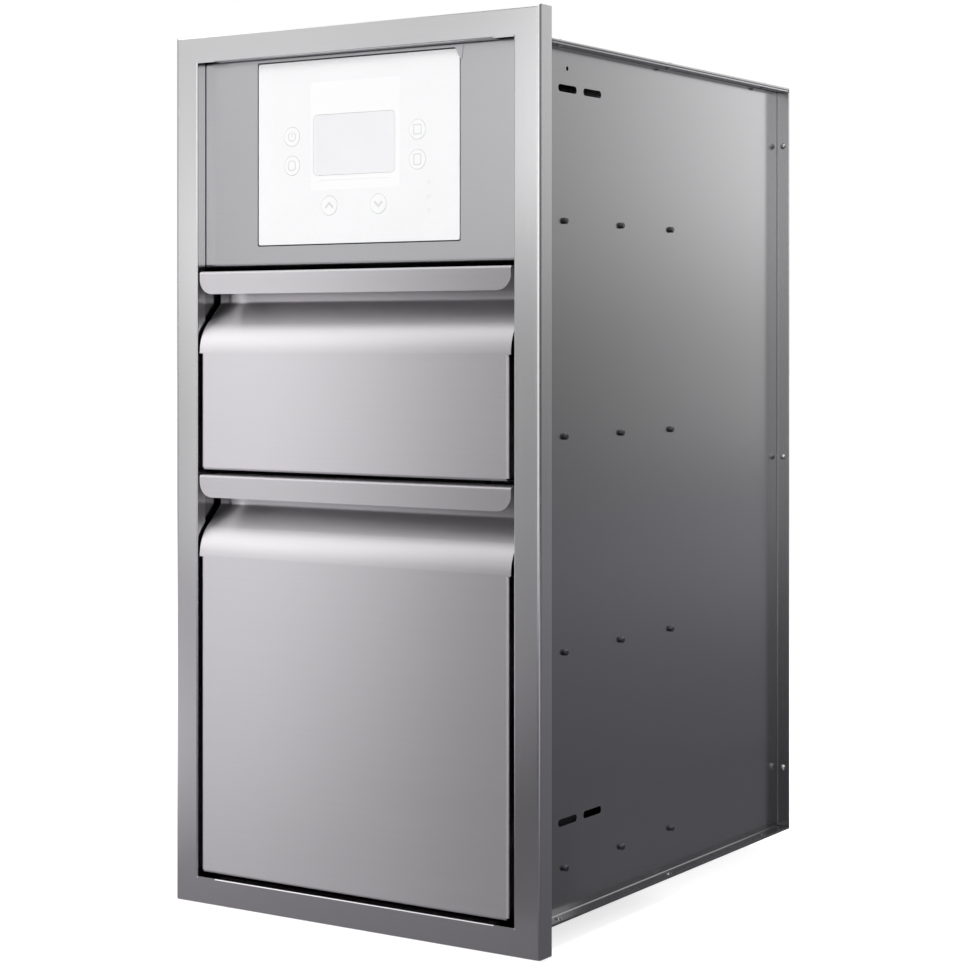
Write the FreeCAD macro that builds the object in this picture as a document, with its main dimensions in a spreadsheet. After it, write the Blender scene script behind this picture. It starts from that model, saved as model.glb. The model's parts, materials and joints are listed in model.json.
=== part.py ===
import FreeCAD, Part
import math
import os
import re
import Sketcher

# Built-in stainless drawer unit for an outdoor kitchen: a face frame and a sheet-metal box with a
# control panel at the top, a small drawer under it and a large drawer below, each drawer on
# telescopic ball-bearing slides. Millimetres. X runs across the unit, Y from front to back, Z up.
# Sketches measure Y from the front face of the frame; Placements then centre the unit on its depth.

Vector = FreeCAD.Vector
doc = FreeCAD.newDocument("DrawerUnit")

SIZES = {
    # face frame
    "frame_width": 430.0,
    "frame_height": 870.0,
    "unit_depth": 550.0,
    "frame_face": 28.0,
    "frame_sheet": 1.2,
    "frame_outer_return": 21.0,
    "frame_inner_return": 12.0,
    "frame_bend": 3.0,
    "frame_fold": 1.5,
    "corner_notch": 22.0,
    # cabinet box
    "sheet": 1.2,
    "bend": 1.0,
    "panel_inset": 25.0,
    "panel_flange": 13.5,
    "roof_gap": 0.1,
    "floor_gap": 3.1,
    "hem_gap": 0.8,
    "hem_bend": 1.4,
    "stiff_flange": 10.0,
    # fasteners
    "hole_play": 0.2,
    "screw_radius": 3.0,
    "screw_tip": 3.6,
    "tip_edge": 0.8,
    "head_edge": 0.7,
    "rivet_radius": 1.6,
    "rivet_head_radius": 3.2,
    "rivet_head": 1.0,
    "rivet_dome": 2.2,
    "rivet_front": 63.0,
    "rivet_rear": 55.0,
    "rivet_low": 90.0,
    "row_rise": 38.8,
    "screw_front": 85.0,
    "screw_step_front": 108.0,
    "screw_step_rear": 102.5,
    # openings in the side panels
    "slot_length": 34.0,
    "slot_width": 7.0,
    "slot_front": 91.0,
    "slot_pitch": 46.5,
    "slot_low": 82.5,
    "slot_high": 39.8,
    "side_hole_radius": 2.2,
    "side_hole_front": 90.4,
    "side_hole_drop": 20.6,
    # telescopic slides
    "slide_thickness": 12.7,
    "slide_height": 45.7,
    "slide_front": 42.0,
    "slide_rear_room": 58.0,
    "slide_curl": 3.2,
    "slide_play": 0.4,
    "lip_reach": 10.4,
    "ball_radius": 2.0,
    "ball_play": 0.05,
    "cage_sheet": 0.6,
    "cage_length": 200.0,
    "cage_bend": 1.2,
    "cage_margin": 20.0,
    "cage_play": 0.1,
    # drawers
    "front_gap_side": 3.0,
    "front_gap": 5.4,
    "front_step": 0.6,
    "band_height": 22.5,
    "band_corner": 15.0,
    "recess_depth": 33.0,
    "recess_wall": 31.0,
    "recess_bend": 4.0,
    "lip_radius": 40.0,
    "lip_edge": 1.0,
    "lip_overhang": 2.4,
    "front_sheet": 1.2,
    "front_bend": 1.3,
    "liner_margin": 1.0,
    "liner_flange": 12.0,
    "tray_sheet": 1.0,
    "tray_lift": 8.0,
    "tray_drop": 34.0,
    "tray_tail": 12.4,
    "tray_hem": 8.0,
    "tray_lip": 5.0,
    "tray_back_inset": 0.3,
    "tray_back_flange": 12.0,
    "tray_screw_radius": 2.5,
    "tray_screw_head_radius": 4.2,
    "tray_screw_head": 1.8,
    "front_screw_side": 120.0,
    "front_screw_drop": 15.0,
    # control panel
    "fascia_recess": 1.0,
    "fascia_flange": 12.0,
    "fascia_top_gap": 0.3,
    "fascia_side_gap": 0.3,
    "shelf_wall": 50.0,
    "plate_width": 238.4,
    "plate_drop": 4.8,
    "plate_foot": 20.0,
    "plate_sheet": 2.2,
    "plate_corner": 2.0,
    "plate_gap": 1.3,
    "clip_sheet": 0.8,
    "clip_height": 1.5,
    "clip_reach": 123.5,
    "clip_flare": 9.0,
    "clip_leg": 3.0,
    "clip_drop": 10.0,
    "gasket_sheet": 1.0,
    "controls_shift": -3.0,
    "display_width": 97.6,
    "display_height": 59.2,
    "display_corner": 5.0,
    "display_rise": 6.4,
    "lens_gap": 0.2,
    "module_margin": 3.0,
    "module_sheet": 5.0,
    "housing_depth": 36.0,
    "housing_wall": 2.5,
    "housing_inset": 2.0,
    "housing_flange": 5.0,
    "housing_rim": 3.0,
    "housing_flange_sheet": 2.0,
    "stud_radius": 1.3,
    "stud_length": 8.0,
    "stud_rise": 62.0,
    "nut_radius": 2.4,
    "nut_height": 2.2,
    "thread_play": 0.05,
    "board_sheet": 1.6,
    "board_gap": 9.8,
    "board_margin": 8.0,
    "post_radius": 4.0,
    "post_inset": 6.0,
    "board_screw_radius": 1.4,
    "board_screw_head_radius": 2.6,
    "board_screw_head": 1.6,
    "board_screw_length": 8.0,
    "button_radius": 9.4,
    "button_play": 0.25,
    "button_proud": 0.3,
    "button_travel": 0.8,
    "button_rim": 1.6,
    "rim_sheet": 1.0,
    "rim_play": 0.15,
    "button_edge": 0.4,
    "stem_radius": 1.6,
    "switch_side": 6.0,
    "switch_height": 3.5,
    "switch_play": 0.2,
    "button_column": 74.6,
    "button_high": 16.2,
    "button_low": -12.2,
    "arrow_column": 29.2,
    "arrow_row": -52.6,
    "light_inset": 34.4,
    "light_row": -47.5,
    "light_pitch": 13.6,
    "light_radius": 2.0,
    "light_play": 0.1,
    "terminal_width": 32.0,
    "terminal_height": 10.0,
    "terminal_depth": 11.0,
    "terminal_side": 78.0,
    "terminal_row": -45.0,
    "terminal_pitch": 9.0,
    "terminal_mouth": 6.0,
    "terminal_well": 6.0,
    "cable_radius": 8.0,
    "grommet_radius": 12.0,
    "grommet_flange": 3.0,
    "grommet_play": 0.1,
    "cable_side": 110.0,
    "cable_drop": 128.0,
}

# Places that several pieces share, worked out from the sizes above.
PLACES = {
    "opening_half": "frame_width / 2 - frame_face",
    "opening_floor": "frame_face",
    "opening_ceiling": "frame_height - frame_face",
    "module_height": "(frame_height - 2 * frame_face) / 4",
    "panel_outer": "frame_width / 2 - panel_inset",
    "panel_inner": "panel_outer - sheet",
    "flange_edge": "panel_outer + panel_flange",
    "flange_middle": "panel_outer + panel_flange / 2",
    "box_roof": "opening_ceiling + frame_sheet + roof_gap + sheet",
    "box_floor": "opening_floor - frame_sheet - floor_gap - sheet",
    "panel_low": "box_floor + sheet",
    "panel_high": "box_roof - 2 * sheet - hem_gap",
    "back_front": "unit_depth - rivet_head - sheet",
    "back_rear": "unit_depth - rivet_head",
    "rivet_last": "unit_depth - rivet_rear",
    "rivet_middle": "(rivet_front + rivet_last) / 2",
    "rivet_high": "frame_height - rivet_low",
    "rivet_mid_height": "frame_height / 2",
    "relief": "sheet + bend",
    "screw_sink": "screw_radius + sheet",
    "screw_second": "screw_front + screw_step_front",
    "screw_third": "screw_second + screw_step_rear",
    "slide_length": "unit_depth - slide_front - slide_rear_room",
    "tray_half": "panel_inner - slide_thickness",
    "tray_front": "recess_depth + front_sheet + sheet",
    "tray_rear": "slide_front + slide_length + tray_tail",
    "fascia_low": "opening_floor + 3 * module_height",
    "fascia_front": "frame_inner_return + fascia_recess",
    "fascia_back": "fascia_front + sheet",
    "plate_top": "opening_ceiling - plate_drop",
    "plate_height": "plate_top - fascia_low - plate_foot",
    "plate_middle": "plate_top - plate_height / 2",
    "plate_back": "fascia_front + plate_sheet",
    "gasket_back": "fascia_back + gasket_sheet",
    "display_middle": "plate_middle + display_rise",
    "board_front": "plate_back + board_gap",
    "board_back": "board_front + board_sheet",
    "housing_half": "plate_width / 2 - housing_inset",
    "housing_half_height": "plate_height / 2 - housing_inset",
    "housing_back": "gasket_back + housing_depth",
    "board_half": "housing_half - housing_wall - board_margin",
    "board_half_height": "housing_half_height - housing_wall - board_margin",
    "post_side": "board_half - post_inset",
    "post_rise": "board_half_height - post_inset",
    "switch_front": "board_front - switch_height",
    "stem_tip": "switch_front - switch_play - button_travel",
    "slide_half": "slide_height / 2",
    "cage_front": "slide_front + slide_length / 2 - cage_length / 2",
    "gap_between_lips": "2 * (ball_radius + ball_play)",
    "middle_web": "sheet + 2 * slide_play + cage_sheet",
    "middle_half": "slide_half - sheet - gap_between_lips",
    "inner_half": "middle_half - sheet - gap_between_lips",
    "outer_ball_rise": "middle_half + gap_between_lips / 2",
    "inner_ball_rise": "inner_half + gap_between_lips / 2",
    "outer_cage_in": "sheet + slide_play",
    "outer_cage_out": "lip_reach - sheet - slide_play",
    "outer_ball_in": "(outer_cage_in + cage_sheet + outer_cage_out) / 2",
    "inner_cage_in": "middle_web + sheet + slide_play",
    "inner_ball_in": "(inner_cage_in + cage_sheet + lip_reach) / 2",
    "face_half": "opening_half - front_gap_side - lip_overhang",
    "lip_half": "opening_half - front_gap_side",
    "light_column": "plate_width / 2 - light_inset",
    "small_front_high": "fascia_low - front_gap",
    "small_front_low": "opening_floor + 2 * module_height + front_step",
    "large_front_high": "small_front_low - front_gap",
    "large_front_low": "opening_floor + front_gap",
    "front_relief": "front_sheet + front_bend",
    "liner_front": "recess_depth + front_sheet",
    "lip_drop": "recess_wall + recess_depth + lip_radius * tan(22.5deg) + lip_edge",
}


def bound(text):
    """An expression with each size pointed at its cell and each place written out."""

    def swap(match):
        word = match.group()
        if word in SIZES:
            return "Sizes." + word
        if word in PLACES:
            return "(" + bound(PLACES[word]) + ")"
        return word

    return re.sub(r"[a-z_]+", swap, text)


sheet = doc.addObject("Spreadsheet::Sheet", "Sizes")
for row, (alias, number) in enumerate(SIZES.items(), start=1):
    sheet.set("A%d" % row, alias)
    sheet.set("B%d" % row, str(number))
    sheet.setAlias("B%d" % row, alias)
doc.recompute()


def amount(text):
    """The present value of an expression."""
    return float(sheet.evalExpression(bound(text)))


def bind(item, name, text):
    item.setExpression(name, bound(text))


# Drawing in sketches. A corner is (x, y) or (x, y, radius), each written as an expression.
def pin(sketch, part, end, x, y):
    """Holds a point of the sketch at x, y."""
    for kind, text in (("DistanceX", x), ("DistanceY", y)):
        place = sketch.addConstraint(Sketcher.Constraint(kind, -1, 1, part, end, amount(text)))
        bind(sketch, "Constraints[%d]" % place, text)


def run(sketch, corners, closed=False):
    """Straight lines through corners, with an arc where a corner has a radius."""
    spots = [Vector(amount(c[0]), amount(c[1]), 0) for c in corners]
    count = len(corners)
    sides = range(count if closed else count - 1)
    starts = [Vector(spots[i]) for i in sides]
    ends = [Vector(spots[(i + 1) % count]) for i in sides]
    arcs = {}
    for i, corner in enumerate(corners):
        if len(corner) < 3:
            continue
        before = (spots[i] - spots[i - 1]).normalize()
        after = (spots[(i + 1) % count] - spots[i]).normalize()
        turn = before.getAngle(after)
        radius = amount(corner[2])
        cut = radius * math.tan(turn / 2)
        left = before.cross(after).z > 0
        inward = Vector(-before.y, before.x, 0) if left else Vector(before.y, -before.x, 0)
        enter = spots[i] - before * cut
        leave = spots[i] + after * cut
        centre = enter + inward * radius
        ends[i - 1] = enter
        starts[i] = leave
        first, last = (enter, leave) if left else (leave, enter)
        bow = centre + (spots[i] - centre).normalize() * radius
        arcs[i] = (Part.Arc(first, bow, last), left)
    lines = [sketch.addGeometry(Part.LineSegment(starts[i], ends[i]), False) for i in sides]
    for i, corner in enumerate(corners):
        meets = closed or 0 < i < count - 1
        if i in arcs:
            arc = sketch.addGeometry(arcs[i][0], False)
            enter, leave = (1, 2) if arcs[i][1] else (2, 1)
            sketch.addConstraint(Sketcher.Constraint("Tangent", lines[i - 1], 2, arc, enter))
            sketch.addConstraint(Sketcher.Constraint("Tangent", arc, leave, lines[i], 1))
            place = sketch.addConstraint(Sketcher.Constraint("Radius", arc, amount(corner[2])))
            bind(sketch, "Constraints[%d]" % place, corner[2])
            point = sketch.addGeometry(Part.Point(spots[i]), True)
            pin(sketch, point, 1, corner[0], corner[1])
            sketch.addConstraint(Sketcher.Constraint("PointOnObject", point, 1, lines[i - 1]))
            sketch.addConstraint(Sketcher.Constraint("PointOnObject", point, 1, lines[i]))
        elif meets:
            sketch.addConstraint(Sketcher.Constraint("Coincident", lines[i - 1], 2, lines[i], 1))
            pin(sketch, lines[i], 1, corner[0], corner[1])
        elif i == 0:
            pin(sketch, lines[0], 1, corner[0], corner[1])
        else:
            pin(sketch, lines[-1], 2, corner[0], corner[1])


def loop(corners):
    return lambda sketch: run(sketch, corners, closed=True)


def rectangle(left, low, right, high, radius=None):
    corners = [(left, low), (right, low), (right, high), (left, high)]
    if radius:
        corners = [corner + (radius,) for corner in corners]
    return loop(corners)


def block(x, y, half_width, half_height, radius=None):
    """A rectangle about its centre."""
    return rectangle(
        "%s - (%s)" % (x, half_width), "%s - (%s)" % (y, half_height),
        "%s + (%s)" % (x, half_width), "%s + (%s)" % (y, half_height), radius)


def disc(x, y, radius):
    def draw(sketch):
        ring = Part.Circle(Vector(amount(x), amount(y), 0), Vector(0, 0, 1), amount(radius))
        part = sketch.addGeometry(ring, False)
        pin(sketch, part, 3, x, y)
        place = sketch.addConstraint(Sketcher.Constraint("Radius", part, amount(radius)))
        bind(sketch, "Constraints[%d]" % place, radius)

    return draw


def slot(x, y, length, width):
    """A level slot with round ends."""

    def draw(sketch):
        reach = "(%s - %s) / 2" % (length, width)
        half = amount(width) / 2
        middle = Vector(amount(x), amount(y), 0)
        side = Vector(amount(reach), 0, 0)
        rise = Vector(0, half, 0)
        right = Part.Arc(middle + side - rise, middle + side + Vector(half, 0, 0), middle + side + rise)
        left = Part.Arc(middle - side + rise, middle - side - Vector(half, 0, 0), middle - side - rise)
        top = Part.LineSegment(middle + side + rise, middle - side + rise)
        low = Part.LineSegment(middle - side - rise, middle + side - rise)
        right, top, left, low = [sketch.addGeometry(part, False) for part in (right, top, left, low)]
        for before, after in ((right, top), (top, left), (left, low), (low, right)):
            sketch.addConstraint(Sketcher.Constraint("Tangent", before, 2, after, 1))
        pin(sketch, right, 3, "%s + %s" % (x, reach), y)
        pin(sketch, left, 3, "%s - %s" % (x, reach), y)
        sketch.addConstraint(Sketcher.Constraint("Equal", right, left))
        place = sketch.addConstraint(Sketcher.Constraint("Radius", right, half))
        bind(sketch, "Constraints[%d]" % place, "%s / 2" % width)

    return draw


# Bodies. A sketch across an axis shows Y-Z for X, X-Z for Y and X-Y for Z.
PLANES = {"X": "YZ_Plane", "Y": "XZ_Plane", "Z": "XY_Plane"}
parts = []


def centre_on_depth(item):
    bind(item, "Placement.Base.y", "-unit_depth / 2")


def new_body(label):
    body = doc.addObject("PartDesign::Body", label)
    body.Label = label
    centre_on_depth(body)
    parts.append(body)
    return body


def sketch_across(body, axis, start, figures):
    sketch = body.newObject("Sketcher::SketchObject", body.Name + "_sketch")
    plane = [item for item in body.Origin.OriginFeatures if item.Role == PLANES[axis]][0]
    sketch.AttachmentSupport = [(plane, "")]
    sketch.MapMode = "FlatFace"
    sign = "-" if axis == "Y" else ""
    bind(sketch, "AttachmentOffset.Base.z", "%s(%s)" % (sign, start))
    for figure in figures:
        figure(sketch)
    return sketch


def pad(body, axis, start, length, *figures):
    """Adds figures, from start along the axis for length."""
    feature = body.newObject("PartDesign::Pad", body.Name + "_pad")
    feature.Profile = sketch_across(body, axis, start, figures)
    feature.Reversed = axis == "Y"
    bind(feature, "Length", length)
    return feature


pockets = []


def pocket(body, axis, start, length, *figures):
    """Cuts figures, from start along the axis for length."""
    feature = body.newObject("PartDesign::Pocket", body.Name + "_pocket")
    feature.Profile = sketch_across(body, axis, start, figures)
    feature.Reversed = axis != "Y"
    bind(feature, "Length", length)
    pockets.append(feature)
    return feature


def turn(body, corners):
    """A solid turned about the body's Y axis from (Y, radius) corners."""
    feature = body.newObject("PartDesign::Revolution", body.Name + "_turn")
    sketch = sketch_across(body, "X", "0", [loop(corners)])
    feature.Profile = sketch
    feature.ReferenceAxis = (sketch, ["H_Axis"])
    feature.Angle = 360
    return feature


# Folded sheet metal: an open run is thickened to one side and drawn out along an axis.
TURNS = {
    "X": FreeCAD.Rotation(Vector(0, 1, 0), Vector(0, 0, 1), Vector(1, 0, 0)),
    "Y": FreeCAD.Rotation(Vector(1, 0, 0), Vector(0, 0, 1), Vector(0, -1, 0)),
    "Z": FreeCAD.Rotation(),
}
AXES = {"X": Vector(1, 0, 0), "Y": Vector(0, 1, 0), "Z": Vector(0, 0, 1)}


def free_sketch(label, axis, start, figures):
    sketch = doc.addObject("Sketcher::SketchObject", label + "_sketch")
    sketch.Placement = FreeCAD.Placement(Vector(), TURNS[axis])
    bind(sketch, "Placement.Base." + axis.lower(), start)
    for figure in figures:
        figure(sketch)
    return sketch


def drawn_out(label, axis, profile, length):
    """The profile drawn out along the axis."""
    solid = doc.addObject("Part::Extrusion", label)
    solid.Base = profile
    solid.DirMode = "Custom"
    solid.Dir = AXES[axis]
    solid.Solid = True
    bind(solid, "LengthFwd", length)
    return solid


def bar(label, axis, start, length, *figures):
    return drawn_out(label, axis, free_sketch(label, axis, start, figures), length)


def folded(label, axis, start, length, thickness, corners):
    """Sheet metal folded along corners, on the right of the way that they run."""
    sketch = free_sketch(label, axis, start, [lambda item: run(item, corners)])
    section = doc.addObject("Part::Offset2D", label + "_section")
    section.Source = sketch
    section.Mode = "Skin"
    section.Fill = True
    side = "-" if axis == "Y" else ""
    bind(section, "Value", "%s(%s)" % (side, thickness))
    return drawn_out(label, axis, section, length)


def joined(label, *items):
    whole = doc.addObject("Part::MultiFuse", label)
    whole.Shapes = list(items)
    whole.Refine = True
    return whole


def less(label, base, tool):
    rest = doc.addObject("Part::Cut", label)
    rest.Base = base
    rest.Tool = tool
    rest.Refine = True
    return rest


def common(label, base, tool):
    shared = doc.addObject("Part::Common", label)
    shared.Base = base
    shared.Tool = tool
    return shared


def reflected(label, item, axis, at="0"):
    """The item mirrored across an axis, about a plane at a place on it."""
    copy = doc.addObject("Part::Mirroring", label)
    copy.Source = item
    copy.Normal = AXES[axis]
    bind(copy, "Base." + axis.lower(), at)
    return copy


def finished(label, item):
    item.Label = label
    centre_on_depth(item)
    parts.append(item)
    return item


def mirrored(label, item):
    """The same piece for the other side of the unit."""
    copy = reflected(label, item, "X")
    copy.Label = label
    parts.append(copy)
    return copy


def grouped(label, solids):
    """Like pieces as one group of separate solids, in the places of the sketches."""
    group = doc.addObject("Part::Feature", label)
    group.Label = label
    group.Shape = Part.makeCompound(solids)
    centre_on_depth(group)
    parts.append(group)
    return group


# Fasteners as solids of revolution, so that like ones can stand in one group.
def turned(edges):
    """A solid turned about Z from edges that close a half outline on the axis."""
    return Part.Face(Part.Wire(edges)).revolve(Vector(), AXES["Z"], 360)


def straight(corners):
    """Edges through (radius, height) corners."""
    points = [Vector(radius, 0, height) for radius, height in corners]
    return [Part.makeLine(*pair) for pair in zip(points, points[1:])]


def dome(radius, low, high):
    """An edge from a dome's rim to its crown on the axis."""
    rise = high - low
    sweep = (radius ** 2 + rise ** 2) / (2 * rise)
    half = math.asin(radius / sweep) / 2
    middle = Vector(sweep * math.sin(half), 0, high - sweep + sweep * math.cos(half))
    return Part.Arc(Vector(radius, 0, low), middle, Vector(0, 0, high)).toShape()


def domed_screw(place, way, head_radius, head, radius, length):
    """A screw with the underside of its domed head at place and its shank pointing along way."""
    edge = amount("head_edge")
    sides = straight([
        (0, head), (0, -length), (radius, -length), (radius, 0), (head_radius, 0), (head_radius, edge)])
    shape = turned(sides + [dome(head_radius, edge, head)])
    shape.Placement = FreeCAD.Placement(place, FreeCAD.Rotation(Vector(0, 0, -1), way))
    return shape


def sunk_screw(place, way):
    """A countersunk screw, its head level with a sheet at place, that stands out of the far side."""
    radius = amount("screw_radius")
    edge = amount("tip_edge")
    tip = amount("2 * sheet + screw_tip")
    shape = turned(straight([
        (0, 0), (amount("screw_sink"), 0), (radius, amount("sheet")), (radius, tip - edge),
        (radius - edge, tip), (0, tip), (0, 0)]))
    shape.Placement = FreeCAD.Placement(place, FreeCAD.Rotation(AXES["Z"], way))
    return shape


def rivet(place, way, grip):
    """A rivet with its flat head at place and its domed head at the far end of its grip."""
    radius = amount("rivet_radius")
    head_radius = amount("rivet_head_radius")
    head = amount("rivet_head")
    crown = grip + amount("rivet_dome")
    sides = straight([
        (0, crown), (0, -head), (head_radius, -head), (head_radius, 0), (radius, 0), (radius, grip),
        (head_radius, grip)])
    shape = turned(sides + [dome(head_radius, grip, crown)])
    shape.Placement = FreeCAD.Placement(place, FreeCAD.Rotation(AXES["Z"], way))
    return shape


def nut(place):
    """A hexagon nut along Y, its near face centred at place."""
    sides = 6
    spokes = [math.tau * step / sides for step in range(sides + 1)]
    rim = [Vector(math.cos(spoke), 0, math.sin(spoke)) * amount("nut_radius") for spoke in spokes]
    height = amount("nut_height")
    hexagon = Part.Face(Part.makePolygon([place + point for point in rim])).extrude(AXES["Y"] * height)
    return hexagon.cut(Part.makeCylinder(amount("stud_radius + thread_play"), height, place, AXES["Y"]))


# Face frame: four folded rails mitred at the corners. The inner returns of the top and bottom rails
# stop short of the corners, where the sheet runs on flat.
def make_face_frame():
    half = "frame_width / 2"
    stile = folded("stile", "Z", "0", "frame_height", "frame_sheet", [
        (half, "frame_outer_return"), (half, "0", "frame_bend"),
        ("opening_half", "0", "frame_fold"), ("opening_half", "frame_inner_return")])
    stile_mitre = bar("stile_mitre", "Y", "0", "frame_outer_return", loop([
        (half, "0"), (half, "frame_height"),
        ("opening_half", "opening_ceiling"), ("opening_half", "opening_floor")]))
    rail = folded("rail", "X", "-frame_width / 2", "frame_width", "frame_sheet", [
        ("frame_inner_return", "opening_ceiling"), ("0", "opening_ceiling", "frame_fold"),
        ("0", "frame_height", "frame_bend"), ("frame_outer_return", "frame_height")])
    rail_mitre = bar("rail_mitre", "Y", "0", "frame_outer_return", loop([
        ("-frame_width / 2", "frame_height"), ("-opening_half", "opening_ceiling"),
        ("opening_half", "opening_ceiling"), (half, "frame_height")]))
    ends = [
        ("opening_half - corner_notch", "opening_half"),
        ("-opening_half", "corner_notch - opening_half")]
    low = "opening_ceiling - frame_sheet"
    high = "opening_ceiling + frame_fold"
    notches = bar(
        "notches", "Y", "-frame_sheet", "frame_inner_return + 2 * frame_sheet",
        *[rectangle(start, low, end, high) for start, end in ends])
    lips = bar(
        "corner_lips", "Y", "0", "frame_sheet",
        *[rectangle(start, "opening_ceiling", end, high) for start, end in ends])
    right = common("right_stile", stile, stile_mitre)
    notched = less("notched_rail", common("mitred_rail", rail, rail_mitre), notches)
    top = joined("top_rail", notched, lips)
    left = reflected("left_stile", right, "X")
    bottom = reflected("bottom_rail", top, "Z", "frame_height / 2")
    return finished("face_frame", joined("frame_weldment", right, left, top, bottom))


# Side panel: one sheet with its four edges turned outwards, relieved at the corners.
def row_height(module):
    """The height of the screws and the slide in a module, counted from the bottom."""
    return "opening_floor + %d * module_height + row_rise" % module


SCREW_PLACES = ["screw_front", "screw_second", "screw_third"]
MODULES = range(4)


def screw_holes(modules, radius):
    return [disc(y, row_height(module), radius) for module in modules for y in SCREW_PLACES]


RIVET_ROW = ["rivet_front", "rivet_middle", "rivet_last"]
RIVET_COLUMN = ["rivet_low", "rivet_mid_height", "rivet_high"]


def rivet_holes(places, sides=("", "-")):
    """Holes along the middle of the outward flanges."""
    radius = "rivet_radius + hole_play"
    return [disc(side + "flange_middle", place, radius) for side in sides for place in places]


def make_side_panel():
    length = "back_front - frame_sheet - 2 * relief"
    level = folded("panel_level_channel", "Y", "frame_sheet + relief", length, "sheet", [
        ("flange_edge", "panel_high - sheet"), ("panel_outer", "panel_high - sheet", "bend"),
        ("panel_outer", "panel_low + sheet", "bend"), ("flange_edge", "panel_low + sheet")])
    height = "panel_high - panel_low - 2 * relief"
    upright = folded("panel_upright_channel", "Z", "panel_low + relief", height, "sheet", [
        ("flange_edge", "back_front - sheet"), ("panel_outer", "back_front - sheet", "bend"),
        ("panel_outer", "frame_sheet + sheet", "bend"), ("flange_edge", "frame_sheet + sheet")])
    slots = [
        slot(y, z, "slot_length", "slot_width")
        for y in ("slot_front", "slot_front + slot_pitch")
        for z in ("opening_floor + slot_low", "opening_ceiling - slot_high")]
    corner_hole = disc("side_hole_front", "opening_ceiling - side_hole_drop", "side_hole_radius")
    across = bar(
        "panel_side_holes", "X", "panel_inner - sheet", "3 * sheet",
        *screw_holes(MODULES, "screw_radius + hole_play"), *slots, corner_hole)
    down = bar("panel_flange_holes", "Z", "0", "frame_height", *rivet_holes(RIVET_ROW, [""]))
    rear = bar(
        "panel_rear_holes", "Y", "back_front - 2 * sheet", "3 * sheet", *rivet_holes(RIVET_COLUMN, [""]))
    blank = joined("panel_blank", level, upright)
    holes = joined("panel_holes", across, down, rear)
    return finished("side_panel_right", less("panel_cut", blank, holes))


# Top panel: hems along both sides and a flange up the back of the frame.
def make_top_panel():
    start = "frame_sheet + relief"
    length = "back_rear - frame_sheet - relief"
    roof = folded("roof", "Y", start, length, "sheet", [
        ("-panel_outer - relief", "panel_high"), ("-flange_edge", "panel_high", "hem_bend"),
        ("-flange_edge", "box_roof", "hem_bend"), ("flange_edge", "box_roof", "hem_bend"),
        ("flange_edge", "panel_high", "hem_bend"), ("panel_outer + relief", "panel_high")])
    upstand = folded("roof_upstand", "X", "-opening_half", "2 * opening_half", "sheet", [
        ("frame_sheet + sheet", "box_roof + stiff_flange"), ("frame_sheet + sheet", "box_roof", "bend"),
        ("frame_sheet + 3 * relief", "box_roof")])
    holes = bar(
        "roof_holes", "Z", "panel_high - sheet", "box_roof - panel_high + 2 * sheet",
        *rivet_holes(RIVET_ROW))
    return finished("top_panel", less("roof_cut", joined("roof_blank", roof, upstand), holes))


# Bottom panel: flat, with a flange down the back of the frame.
def make_bottom_panel():
    floor = bar(
        "floor", "Z", "box_floor", "sheet",
        rectangle("-flange_edge", "frame_sheet + relief", "flange_edge", "back_rear"))
    lip = folded("floor_lip", "X", "-opening_half", "2 * opening_half", "sheet", [
        ("frame_sheet + 3 * relief", "box_floor"), ("frame_sheet + sheet", "box_floor", "bend"),
        ("frame_sheet + sheet", "box_floor - stiff_flange")])
    holes = bar("floor_holes", "Z", "box_floor - sheet", "3 * sheet", *rivet_holes(RIVET_ROW))
    return finished("bottom_panel", less("floor_cut", joined("floor_blank", floor, lip), holes))


def make_back_panel():
    body = new_body("back_panel")
    outline = rectangle("-flange_edge", "panel_low", "flange_edge", "panel_high")
    pad(body, "Y", "back_front", "sheet", outline)
    pocket(
        body, "Y", "back_front", "sheet", *rivet_holes(RIVET_COLUMN),
        disc("cable_side", "opening_ceiling - cable_drop", "grommet_radius"))


def make_cable_grommet():
    """A rubber bush turned about the cable's way, seated in the back panel."""
    body = new_body("cable_grommet")
    bind(body, "Placement.Base.x", "cable_side")
    bind(body, "Placement.Base.z", "opening_ceiling - cable_drop")
    flange = "grommet_radius + grommet_flange"
    neck = "grommet_radius - grommet_play"
    turn(body, [
        ("back_front - grommet_flange", "cable_radius"), ("unit_depth", "cable_radius"),
        ("unit_depth", flange), ("back_rear", flange), ("back_rear", neck), ("back_front", neck),
        ("back_front", flange), ("back_front - grommet_flange", flange)])


# Control fascia: a pan that stands behind the frame, cut out for the control unit.
STUD_PLACES = [
    ("%splate_width / 2 %s housing_flange / 2" % (side, side or "+"), "plate_middle %s stud_rise" % rise)
    for side in ("", "-") for rise in ("+", "-")]


def plate_outline(margin="0", radius="plate_corner"):
    """The control plate's outline, grown by a margin."""
    half_width = "plate_width / 2 + %s" % margin
    half_height = "plate_height / 2 + %s" % margin
    return block("0", "plate_middle", half_width, half_height, radius)


def display_outline(margin="0", radius="display_corner"):
    """The display window's outline, grown by a margin."""
    half_width = "display_width / 2 + %s" % margin
    half_height = "display_height / 2 + %s" % margin
    return block("controls_shift", "display_middle", half_width, half_height, radius)


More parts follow.
